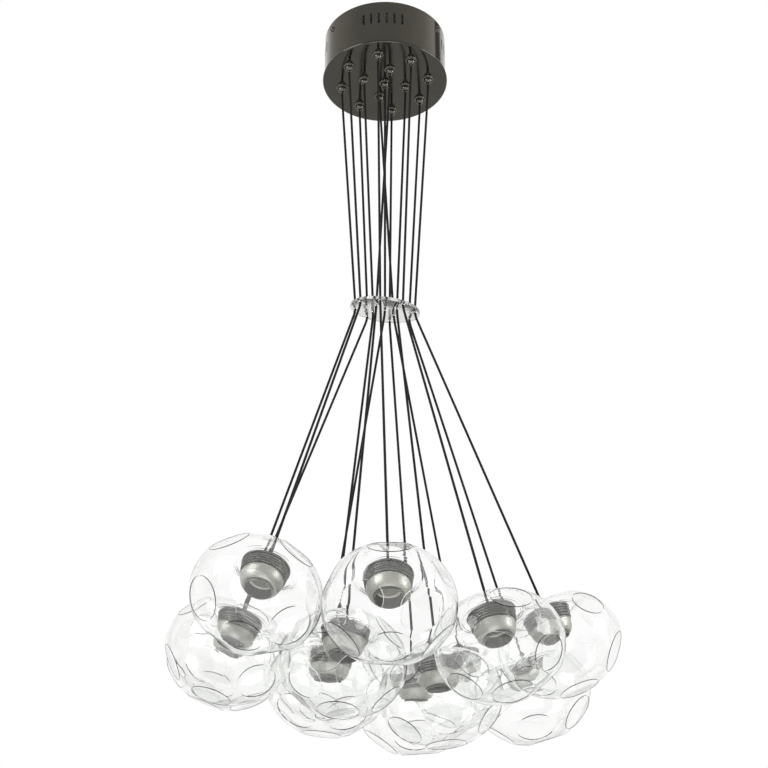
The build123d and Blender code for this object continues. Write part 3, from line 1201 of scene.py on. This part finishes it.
class BuildLampholders(bpy.types.Operator):
    """Builds the lids, strain reliefs, cups and lampholders of the thirteen pendants."""

    bl_idname = "cluster_pendant.lampholders"
    bl_label = "Lids and lampholders"

    def execute(self, context):
        scene = context.scene
        dark, grey = ("dark_lid", "black_nickel"), ("grey_socket", "grey_metal")
        turned = [
            ("lid_plate", rounded(lid_profile(), 0.4, 3), "lid", *dark),
            ("strain_relief", rounded(relief_profile(), 0.7, 3), "lid", *dark),
            ("collar", rounded(collar_profile(), 0.35, 3), "lampholder", "dark_lid", "grey_metal"),
            ("cup", rounded(cup_profile(), 0.8, 3), "lampholder", "grey_cup", "grey_metal"),
            ("socket", rounded(socket_profile(), 0.4, 3), "lampholder", *grey),
            ("insert", rounded(insert_profile(), 0.5, 3), "lampholder", "ceramic", "grey_metal"),
        ]
        shapes = [(name, *lathe(line, 56), *rest) for name, line, *rest in turned]
        shapes += [
            ("screw_shell", *screw_shell(), "lampholder", "screw_shell", "grey_metal"),
            ("contact_tongue", *contact_tongue(), "lampholder", "screw_shell", "grey_metal"),
        ]
        for number, matrix in hangs(scene).items():
            for name, local, faces, node, finish, slot in shapes:
                piece = mesh_piece(
                    f"{name}_{number}",
                    placed(local, matrix),
                    faces,
                    f"pendant_{number}",
                    [f"{node}_{number}"],
                    finish_of(scene, finish),
                    slot,
                )
                weld(piece)
                smooth_by_angle(piece, 38)
        return {"FINISHED"}


class BuildGlobes(bpy.types.Operator):
    """Builds the thirteen blown globes with their thumbprint dimples."""

    bl_idname = "cluster_pendant.globes"
    bl_label = "Glass globes"

    def execute(self, context):
        scene = context.scene
        glass = finish_of(scene, "blown_glass")
        blown = [blown_globe(scene.pendant_sizes, turn, glass) for turn in BLOWN_TURNS]
        for index, (number, matrix) in enumerate(hangs(scene).items()):
            local, faces = blown[index % len(blown)]
            a = GLOBE_TWIST * index
            about = np.array([[np.cos(a), -np.sin(a), 0], [np.sin(a), np.cos(a), 0], [0, 0, 1]])
            globe = mesh_piece(
                f"glass_{number}",
                placed(local @ about.T, matrix),
                faces,
                f"pendant_{number}",
                [f"globe_{number}"],
                glass,
                "clear_glass",
            )
            smooth_by_angle(globe, 9)
        return {"FINISHED"}


# ---------------------------------------------------------------- stage


class BuildStage(bpy.types.Operator):
    """Sets the camera below and in front, a pale floor under it, soft lights and the world."""

    bl_idname = "cluster_pendant.stage"
    bl_label = "Stage"

    def execute(self, context):
        scene = context.scene
        self.camera(scene)
        self.floor(scene)
        self.lights(scene)
        self.world(scene)
        scene.view_settings.view_transform = "Standard"
        scene.cycles.max_bounces = LIGHT_BOUNCES
        scene.cycles.transmission_bounces = LIGHT_BOUNCES
        scene.cycles.transparent_max_bounces = LIGHT_BOUNCES
        scene.cycles.glossy_bounces = 8
        return {"FINISHED"}

    def camera(self, scene):
        """The photograph's place: below the globes, looking up at the whole light."""
        data = bpy.data.cameras.new("viewer")
        data.lens = LENS_MM
        data.sensor_width = 36.0
        data.clip_end = 50.0
        camera = bpy.data.objects.new("viewer", data)
        camera.location = EYE
        camera.rotation_euler = (np.radians(90 + EYE_LIFT), 0, 0)
        scene.collection.objects.link(camera)
        scene.camera = camera

    def floor(self, scene):
        """A plain floor below the viewer's eye, and the patch of ceiling that the drum
        closes against, which is seen through its vents."""
        material, _, shader = new_material("studio_floor")
        shader.inputs["Base Color"].default_value = (*scene.finish_colours.floor, 1)
        shader.inputs["Roughness"].default_value = 0.9
        half = STUDIO_HALF
        square = [(-half, -half), (half, -half), (half, half), (-half, half)]
        corners = np.array([(x, y, -STUDIO_DROP) for x, y in square]) / MM
        mesh_piece("studio_floor", corners, [[0, 1, 2, 3]], material=material)
        rim = ring_points(scene.canopy_sizes.radius - 4.0, 64, 0.0)
        patch = np.column_stack([rim, np.ones(len(rim))])
        face = [list(range(len(rim)))]
        mesh_piece("ceiling_patch", patch, face, material=material)

    def lights(self, scene):
        """Large soft lamps to the left, to the right and below."""
        lamps = [
            ("left_softbox", (-2.2, -1.6, 0.2), 1.6, 26.0),
            ("right_softbox", (2.4, -0.6, -0.4), 1.2, 16.0),
            ("low_fill", (0.0, -1.5, -2.2), 1.8, 12.0),
        ]
        target = Vector((0, 0, -0.6))
        for name, place, size, power in lamps:
            data = bpy.data.lights.new(name, "AREA")
            data.size = size
            data.energy = power
            lamp = bpy.data.objects.new(name, data)
            lamp.location = place
            lamp.rotation_euler = (target - Vector(place)).to_track_quat("-Z", "Y").to_euler()
            scene.collection.objects.link(lamp)

    def world(self, scene):
        """White to the viewer and in glass; plated metal sees a dim room with white
        panels round it, brightest behind the light."""
        world = bpy.data.worlds.new("studio")
        world.use_nodes = True
        scene.world = world
        tree = world.node_tree
        new, link = tree.nodes.new, tree.links.new
        background = tree.nodes["Background"]
        path = new("ShaderNodeLightPath")
        place = new("ShaderNodeTexCoord")
        split = new("ShaderNodeSeparateXYZ")
        link(place.outputs["Generated"], split.inputs["Vector"])
        azimuth = math(tree, "ARCTAN2", split.outputs["X"], split.outputs["Y"])
        ramp = new("ShaderNodeValToRGB")
        link(math(tree, "MULTIPLY_ADD", azimuth, 1 / TAU, 0.5), ramp.inputs["Fac"])
        # Share of a turn from the viewer's side by way of the left, and how bright it is there
        stops = [
            (0.0, 0.38),
            (0.14, 0.40),
            (0.23, 0.50),
            (0.33, 0.58),
            (0.40, 1.0),
            (0.63, 1.0),
            (0.64, 0.12),
            (0.685, 0.14),
            (0.695, 0.85),
            (0.78, 0.55),
            (0.88, 0.42),
            (1.0, 0.38),
        ]
        elements = ramp.color_ramp.elements
        while len(elements) > 1:
            elements.remove(elements[-1])
        elements[0].position = stops[0][0]
        elements[0].color = (*[stops[0][1]] * 3, 1)
        for position, level in stops[1:]:
            elements.new(position).color = (level, level * 0.985, level * 0.96, 1)
        glossy, singular = path.outputs["Is Glossy Ray"], path.outputs["Is Singular Ray"]
        blurred = math(tree, "SUBTRACT", glossy, singular)
        blurred.node.use_clamp = True
        mix = new("ShaderNodeMix")
        mix.data_type = "RGBA"
        mix.inputs["A"].default_value = (1, 1, 1, 1)
        link(blurred, mix.inputs["Factor"])
        link(ramp.outputs["Color"], mix.inputs["B"])
        link(mix.outputs["Result"], background.inputs["Color"])
        # Surfaces that scatter light get a little less of it from the room
        dim = math(tree, "MULTIPLY_ADD", path.outputs["Is Diffuse Ray"], -0.35, 1.0)
        link(dim, background.inputs["Strength"])


# ---------------------------------------------------------------- panel and main


STEPS = (
    BuildStage,
    BuildCords,
    BuildCanopy,
    BuildInside,
    BuildGrips,
    BuildDisc,
    BuildLampholders,
    BuildGlobes,
)
GROUPS = {
    "canopy_sizes": CanopySizes,
    "disc_sizes": DiscSizes,
    "pendant_sizes": PendantSizes,
    "finish_colours": FinishColours,
}


class ClusterPendantPanel(bpy.types.Panel):
    """Lists the sizes, the colours and the building steps."""

    bl_idname = "VIEW3D_PT_cluster_pendant"
    bl_label = "Cluster Pendant"
    bl_space_type = "VIEW_3D"
    bl_region_type = "UI"
    bl_category = "Cluster Pendant"

    def draw(self, context):
        for group in GROUPS:
            box = self.layout.box()
            settings = getattr(context.scene, group)
            for name in settings.bl_rna.properties.keys():
                if name not in ("rna_type", "name"):
                    box.prop(settings, name)
        for step in STEPS:
            self.layout.operator(step.bl_idname)


CLASSES = (*GROUPS.values(), *STEPS, ClusterPendantPanel)


def register():
    for item in CLASSES:
        bpy.utils.register_class(item)
    for name, group in GROUPS.items():
        setattr(bpy.types.Scene, name, bpy.props.PointerProperty(type=group))


def unregister():
    for name in GROUPS:
        delattr(bpy.types.Scene, name)
    for item in reversed(CLASSES):
        bpy.utils.unregister_class(item)


def main():
    """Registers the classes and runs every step."""
    register()
    for step in STEPS:
        group, name = step.bl_idname.split(".")
        getattr(getattr(bpy.ops, group), name)()


if __name__ == "__main__":
    main()
